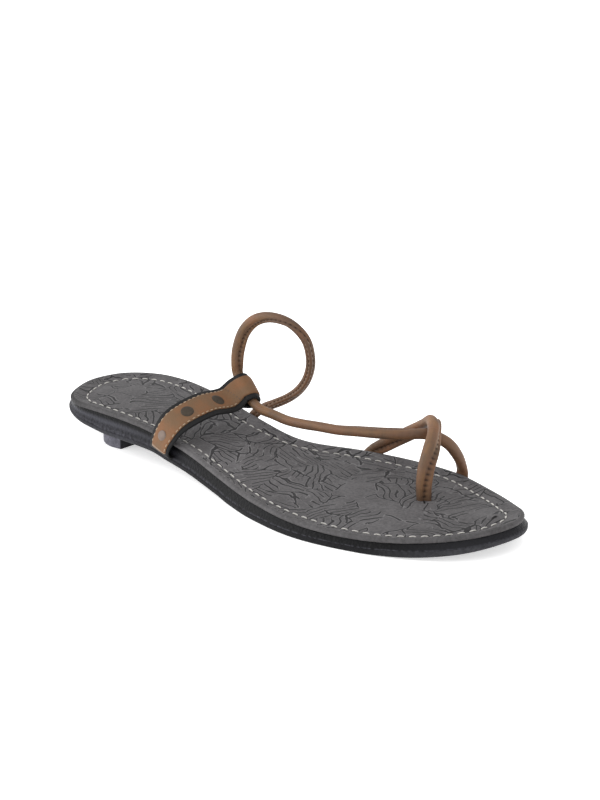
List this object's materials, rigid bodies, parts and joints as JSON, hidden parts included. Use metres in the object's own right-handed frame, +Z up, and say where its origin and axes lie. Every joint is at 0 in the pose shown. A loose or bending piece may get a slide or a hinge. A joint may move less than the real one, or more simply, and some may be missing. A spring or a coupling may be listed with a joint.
{
  "type": "toe-loop cord sandal",
  "caption": "Flat open sandal for the right foot: low-heeled sole and wrapped footbed, riveted instep band sleeved round a covered cord that stands up in a loop and runs to a toe post.",
  "frame": {"origin": "centre of the heel block's contact with the floor", "axes": "+Y to the toe, +X to the wearer's right (outer side of the foot), +Z up from the floor"},
  "size_m": [0.0917, 0.2488, 0.0703],
  "materials": {
    "outsole_rubber": "satin, fine pebble near the lower edge",
    "midsole_black": "smooth satin black",
    "footbed_leather": "embossed grey cover with white edge stitching",
    "band_black": "soft matte black",
    "facing_tan": "waxed tan with worn edges and pale stitching",
    "cord_tan": "tan leather rolled round a core, stitched seam",
    "rivet_metal": "antique, dulled"
  },
  "bodies": {
    "root": {"outsole": "outsole_rubber", "midsole": "midsole_black", "heel_block": "outsole_rubber", "footbed": "footbed_leather", "instep_strap": "band_black", "strap_facing": "facing_tan", "cord_straps": "cord_tan", "rivet_1": "rivet_metal", "rivet_2": "rivet_metal", "rivet_3": "rivet_metal"}
  },
  "joints": []
}
